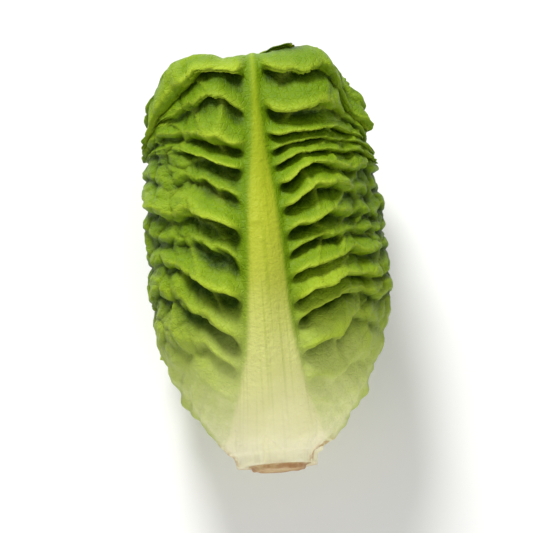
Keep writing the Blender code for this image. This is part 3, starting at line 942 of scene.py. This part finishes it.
def weathered(nodes, leaf, height, cloud, fine):
    """A leaf's colour with its low margin yellowed and torn, and its cut browned."""
    edge = nodes.attribute("edge")
    low = nodes.math("MULTIPLY", edge, nodes.span(height, 0.26, 0.42, LOW_MARGIN_STRENGTH, 0.0))
    low = nodes.math("MULTIPLY", low, nodes.span(height, 0.03, 0.12))
    leaf = nodes.blend(low, leaf, LOW_MARGIN)
    torn = nodes.math("MULTIPLY", edge, nodes.span(height, 0.05, 0.1, TORN_STRENGTH, 0.0))
    torn = nodes.math("MULTIPLY", torn, nodes.span(fine, 0.4, 0.6))
    leaf = nodes.blend(torn, leaf, CUT_BROWN)
    browned = nodes.math("MULTIPLY", nodes.attribute("cut"), nodes.span(cloud, 0.35, 0.6))
    return nodes.blend(nodes.math("MULTIPLY", browned, BROWNED_STRENGTH), leaf, CUT_BROWN)


def leaf_material(name, youth):
    """Leaf flesh: ivory at the cut, a yellow-green rib and a green blade. youth pales it inwards."""
    nodes = Nodes(name)
    cloud = nodes.noise(CLOUD_SCALE, 4.0, 0.55)
    fine = nodes.noise(FINE_SCALE, 3.0, 0.6)
    drift = nodes.math("MULTIPLY_ADD", cloud, COLOUR_DRIFT, -COLOUR_DRIFT / 2.0)
    height = nodes.math("ADD", nodes.attribute("along"), drift)
    blade, veins = blade_colour(nodes, height, fine)
    leaf = nodes.blend(nodes.attribute("rib"), blade, rib_colour(nodes, height))
    strength = nodes.span(height, 0.2, 0.45, 0.0, FLANK_STRENGTH)
    flank = nodes.math("MULTIPLY", nodes.attribute("flank"), strength)
    leaf = nodes.blend(flank, leaf, BLADE_HIGH)
    leaf = nodes.blend(youth, leaf, nodes.blend(YOUTH_MIX, leaf, YOUNG))
    leaf = weathered(nodes, leaf, height, cloud, fine)
    nodes.link(leaf, nodes.shader.inputs["Base Color"])
    nodes.link(nodes.span(fine, 0.3, 0.7, *LEAF_ROUGHNESS), nodes.shader.inputs["Roughness"])
    nodes.shader.inputs["IOR"].default_value = LEAF_IOR
    nodes.shader.inputs["Specular IOR Level"].default_value = LEAF_SPECULAR
    nodes.glow(LEAF_GLOW, LEAF_GLOW_RADIUS)
    grooves = nodes.math("MULTIPLY", veins, nodes.span(height, 0.15, 0.4, *VEIN_GROOVES))
    grain = nodes.math("SUBTRACT", nodes.noise(GRAIN_SCALE, 4.0, 0.65), grooves)
    nodes.link(nodes.bump(grain, *LEAF_BUMP), nodes.shader.inputs["Normal"])
    return nodes.material


def stem_material():
    """The cut stem: pale and moist, browned over the cut."""
    nodes = Nodes("stem")
    cloud = nodes.noise(STEM_CLOUD_SCALE, 4.0, 0.6)
    spots = nodes.noise(STEM_SPOT_SCALE, 3.0, 0.6)
    across = nodes.attribute("across")
    pale = nodes.blend(nodes.span(spots, 0.35, 0.65), STEM_PALE, STEM_SPOT)
    brown = nodes.blend(nodes.span(across, 0.6, 0.95), STEM_FACE, STEM_RIM)
    browned = nodes.math("MULTIPLY", nodes.attribute("end"), nodes.span(cloud, 0.25, 0.65, 0.3, 1.0))
    flesh = nodes.blend(browned, pale, brown)
    ring = nodes.math("MULTIPLY", nodes.span(across, 0.4, 0.5), nodes.span(across, 0.5, 0.64, 1.0, 0.0))
    ring = nodes.math("MULTIPLY", ring, nodes.span(spots, 0.4, 0.6))
    flesh = nodes.blend(nodes.math("MULTIPLY", ring, STEM_RING_STRENGTH), flesh, STEM_RING)
    nodes.link(flesh, nodes.shader.inputs["Base Color"])
    nodes.shader.inputs["Roughness"].default_value = STEM_ROUGHNESS
    nodes.glow(STEM_GLOW, STEM_GLOW_RADIUS)
    nodes.link(nodes.bump(spots, *STEM_BUMP), nodes.shader.inputs["Normal"])
    return nodes.material


MIDDLE_CROWDING = (1.15, 0.6)  # how a leaf's columns crowd towards its midrib: a power and its share
YOUTH_PER_RING = 0.12


def make_leaf(leaf, drape):
    ring = leaf.ring
    power, share = MIDDLE_CROWDING
    side = np.linspace(0.0, 1.0, ring["across"] // 2)
    side = mix(side, side**power, share)
    across = np.concatenate([-side[:0:-1], side])
    u, q = np.meshgrid(across, np.linspace(0.0, leaf.folds, ring["lengthways"]))
    grounds = (drape.softened(REACH, SOFTEN_PASSES), drape.softened(RIB_REACH, RIB_SOFTEN_PASSES))
    azimuth, along, lean, inner, outer, tint = leaf.shape(u, q, drape, grounds)
    sheets = (
        settle(CORE.place(azimuth, along + lean, outer)),
        settle(CORE.place(azimuth, along + lean, inner)),
    )
    mesh = surface_mesh(leaf.name + "_seen", sheets, tint)
    material = leaf_material(leaf.name + "_flesh", YOUTH_PER_RING * leaf.rank)
    piece = add_piece(leaf.name + "_seen", mesh, material)
    laying_across = np.linspace(-1.0, 1.0, LAYING_GRID)
    laying_along = np.linspace(0.0, leaf.folds, LAYING_GRID)
    u, q = np.meshgrid(laying_across, laying_along)
    azimuth, along, lean, inner, outer, tint = leaf.shape(u, q, drape, grounds)
    drape.lay(azimuth, along + lean, outer)
    return piece


def turned_mesh(name, azimuth, along, height, tints):
    """A closed round piece: rings of points about the head's axis with a pole at each end."""
    points = settle(CORE.place(azimuth, along, height))
    rows, columns = points.shape[:2]
    flat = points.reshape(-1, 3)
    poles = np.vstack([points[0].mean(axis=0), points[-1].mean(axis=0)])
    index = np.arange(rows * columns).reshape(rows, columns)
    beside = np.roll(index, -1, axis=1)
    quads = np.stack([index[:-1], beside[:-1], beside[1:], index[1:]], axis=-1).reshape(-1, 4)
    start, end = rows * columns, rows * columns + 1
    faces = quads.tolist()
    faces += [[start, int(b), int(a)] for a, b in zip(index[0], beside[0])]
    faces += [[end, int(a), int(b)] for a, b in zip(index[-1], beside[-1])]
    mesh = bpy.data.meshes.new(name)
    mesh.from_pydata(np.vstack([flat, poles]).tolist(), [], faces)
    for key, values in tints.items():
        layer = mesh.attributes.new(key, "FLOAT", "POINT")
        column = np.broadcast_to(values, (rows, columns))
        ends = [column[0].mean(), column[-1].mean()]
        layer.data.foreach_set("value", np.concatenate([column.ravel(), ends]).astype(np.float32))
    mesh.shade_smooth()
    return mesh


HEART_GRID = (150, 130)  # places round and along
HEART_END = 0.4 * MM  # how far short of the crown the rings stop
HEART_LEAVES = 6
HEART_LEAF_HALF = 95.0  # degrees
HEART_LEAF_TIP = 0.84  # how far up the first one reaches, as a share of the core
HEART_LEAF_STEP = 0.03
HEART_LEAF_ROUND = (0.10, 2.2)  # how far its edge falls to the sides, and how late
HEART_DEPTH = 2.0 * MM
HEART_CREASE_PITCH = 5.0 * MM
HEART_CREASE_WARP = 0.35
HEART_CREASE_DEPTH = 1.3 * MM
HEART_CREASES_SET_IN = (0.3, 0.6)
HEART_ROUGHNESS = 0.3 * MM
HEART_TINT = (0.45, 0.5)  # the least of a tint and how much more it can be
HEART_YOUTH = 0.55


def make_heart():
    """The closed heart: small leaves in relief, folded over one another."""
    around, lengthways = HEART_GRID
    azimuth, along = np.meshgrid(
        np.linspace(0.0, 360.0, around, endpoint=False),
        np.linspace(STEM_TOP, CORE.length - HEART_END, lengthways),
    )
    share = along / CORE.length
    height = np.full(azimuth.shape, -HEART_DEPTH)
    fall, power = HEART_LEAF_ROUND
    for number in range(HEART_LEAVES):
        middle = GOLDEN_ANGLE * (LEAF_COUNT + number)
        away = np.abs(np.mod(azimuth - middle + 180.0, 360.0) - 180.0)
        wave = 0.012 * ripple(away / 9.0, share * 0.0, 910 + number)
        tip = HEART_LEAF_TIP + HEART_LEAF_STEP * number
        reach = tip - fall * (away / HEART_LEAF_HALF) ** power + wave
        inside = smoothstep(0.0, 0.01, reach - share) * smoothstep(0.0, 6.0, HEART_LEAF_HALF - away)
        height = np.maximum(height, -HEART_DEPTH * mix(1.0, number / HEART_LEAVES, inside))
    turn = np.radians(azimuth)
    from_crown = (CORE.length - along) / HEART_CREASE_PITCH
    a = from_crown * np.sin(turn)
    b = from_crown * np.cos(turn)
    warp_a = HEART_CREASE_WARP * ripple(a * 1.3, b * 1.3, 951)
    warp_b = HEART_CREASE_WARP * ripple(a * 1.3, b * 1.3, 952)
    a = a + warp_a
    b = b + warp_b
    nearest, second = cells(a, b, 950)
    crease = np.sqrt(np.clip((second - nearest) * 1.3, 0.0, 1.0))
    height = height - HEART_CREASE_DEPTH * (1.0 - crease) * smoothstep(*HEART_CREASES_SET_IN, share)
    height = height + HEART_ROUGHNESS * ripple(a * 3.0, b * 3.0, 960)
    least, more = HEART_TINT
    # rise runs low in the creases and high between them, so the leaf material paints shade into the
    # heart's creases and a faint painted highlight between them
    tints = {"along": least + more * share, "rise": least + more * crease}
    mesh = turned_mesh("heart_seen", azimuth, along, height, tints)
    return add_piece("heart_seen", mesh, leaf_material("heart_flesh", HEART_YOUTH))


STEM_AROUND = 128
STEM_RINGS = 20  # above the cut, round its rim and over its face
RIM_RINGS = 5
FACE_RINGS = 26
STUB_COLLAR = (0.2 * MM, -0.5 * MM)  # out from the stub, and along the axis
FACE_HOLLOW = 0.35 * MM
LUMP_HEIGHT = 0.2 * MM
LUMP_BASE = 0.1 * MM
LUMP_WAVES = 12
END_BLENDS = (0.5 * MM, -0.6 * MM)


def stem_profile():
    """The stem's outline from inside the head to the middle of its cut, as radius and place along."""
    side = np.linspace(STEM_TOP, 0.0, STEM_RINGS)
    rows = [(CORE.radius(s), CORE.read(s, CORE.line[:, 1])) for s in side]
    out, up = STUB_COLLAR
    rows += [(STUB_RADIUS + out, up), (STUB_RADIUS, -STEM_STUB + STUB_BEVEL)]
    for turn in np.linspace(0.2, 1.0, RIM_RINGS):
        bend = turn * math.pi / 2.0
        radius = STUB_RADIUS - STUB_BEVEL * (1.0 - math.cos(bend))
        rows.append((radius, -STEM_STUB + STUB_BEVEL * (1.0 - math.sin(bend))))
    for share in np.linspace(0.95, 0.04, FACE_RINGS):
        radius = (STUB_RADIUS - STUB_BEVEL) * share
        rows.append((radius, -STEM_STUB + FACE_HOLLOW * (1.0 - share**4)))
    return np.array(rows).T


def make_stem():
    """The cut stem, its rim rounded and its face a little hollow and rough."""
    radius, up = stem_profile()[:, :, None]
    turn = np.radians(np.linspace(0.0, 360.0, STEM_AROUND, endpoint=False)[None, :])
    x = radius * np.sin(turn)
    z = radius * np.cos(turn)
    lumps = LUMP_HEIGHT * ripple(x / MM, z / MM, 970, LUMP_WAVES) + LUMP_BASE
    end = smoothstep(*END_BLENDS, up)
    y = up + np.maximum(lumps, 0.0) * end
    points = lie_down(np.stack([x, y, z], axis=-1))
    rings, columns = points.shape[:2]
    index = np.arange(rings * columns).reshape(rings, columns)
    beside = np.roll(index, -1, axis=1)
    quads = np.stack([index[:-1], index[1:], beside[1:], beside[:-1]], axis=-1)
    faces = quads.reshape(-1, 4).tolist()
    faces.append(index[-1, ::-1].tolist())
    faces.append(index[0].tolist())
    mesh = bpy.data.meshes.new("stem_seen")
    mesh.from_pydata(points.reshape(-1, 3).tolist(), [], faces)
    for key, values in {"across": radius / STUB_RADIUS, "end": end}.items():
        layer = mesh.attributes.new(key, "FLOAT", "POINT")
        everywhere = np.broadcast_to(values, (rings, columns))
        layer.data.foreach_set("value", everywhere.astype(np.float32).ravel())
    mesh.shade_smooth()
    return add_piece("stem_seen", mesh, stem_material())


def make_head():
    pieces = {"stem": make_stem(), "heart": make_heart()}
    drape = Drape()
    for number in range(LEAF_COUNT, 0, -1):
        leaf = Leaf(number)
        pieces[leaf.name] = make_leaf(leaf, drape)
    for node, piece in pieces.items():
        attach(piece, "root")
        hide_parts(node)


FLOOR_SIZE = 6.0
FLOOR_DROP = 0.0002  # how far under the head the floor lies
FLOOR_COLOUR = (0.86, 0.86, 0.85, 1.0)
FLOOR_ROUGHNESS = 0.8


def make_floor():
    bpy.ops.mesh.primitive_plane_add(size=FLOOR_SIZE, location=(0.0, 0.0, -FLOOR_DROP))
    floor = bpy.context.object
    floor.name = "floor"
    material = bpy.data.materials.new("floor")
    material.use_nodes = True
    shader = material.node_tree.nodes["Principled BSDF"]
    shader.inputs["Base Color"].default_value = FLOOR_COLOUR
    shader.inputs["Roughness"].default_value = FLOOR_ROUGHNESS
    floor.data.materials.append(material)


# A soft key light from beyond the crown, and a broad fill from the stem's side
LIGHTS = [
    {"name": "key", "place": (-0.15, 0.62, 0.55), "size": 0.26, "power": 7.5},
    {"name": "fill", "place": (0.08, -0.75, 0.7), "size": 0.8, "power": 4.4},
]
LIGHTS_AIM = (0.0, 0.0, 0.03)
STUDIO_COLOUR = (1.0, 1.0, 1.0, 1.0)
STUDIO_STRENGTH = 0.42


def look_along(direction):
    """The turn that points an object's -Z along a direction, its +Y as far up as it can be."""
    x, y, z = direction
    return (math.atan2(math.hypot(x, y), -z), 0.0, math.atan2(-x, y))


def add_light(name, place, size, power):
    data = bpy.data.lights.new(name, "AREA")
    data.shape = "DISK"
    data.size = size
    data.energy = power
    light = bpy.data.objects.new(name, data)
    bpy.context.scene.collection.objects.link(light)
    light.location = place
    light.rotation_euler = look_along(np.array(LIGHTS_AIM) - np.array(place))


def make_lights():
    for light in LIGHTS:
        add_light(**light)
    world = bpy.data.worlds.new("studio")
    world.use_nodes = True
    background = world.node_tree.nodes["Background"]
    background.inputs["Color"].default_value = STUDIO_COLOUR
    background.inputs["Strength"].default_value = STUDIO_STRENGTH
    bpy.context.scene.world = world
    bpy.context.scene.view_settings.view_transform = "Standard"


# The photo looks down steeply from the stem's end, a little from the left
CAMERA_DISTANCE = 0.65
CAMERA_ELEVATION = 75.0
CAMERA_YAW = 4.0
CAMERA_AIM = (0.0, 0.0, 0.036)
CAMERA_LENS = 150.0
CAMERA_SENSOR = 36.0


def make_camera():
    elevation = math.radians(CAMERA_ELEVATION)
    yaw = math.radians(CAMERA_YAW)
    level = math.cos(elevation)
    back = np.array([-level * math.sin(yaw), -level * math.cos(yaw), math.sin(elevation)])
    data = bpy.data.cameras.new("camera")
    data.lens = CAMERA_LENS
    data.sensor_width = CAMERA_SENSOR
    camera = bpy.data.objects.new("camera", data)
    bpy.context.scene.collection.objects.link(camera)
    camera.location = np.array(CAMERA_AIM) + CAMERA_DISTANCE * back
    camera.rotation_euler = look_along(-back)
    bpy.context.scene.camera = camera


def main():
    make_head()
    make_floor()
    make_lights()
    make_camera()


main()
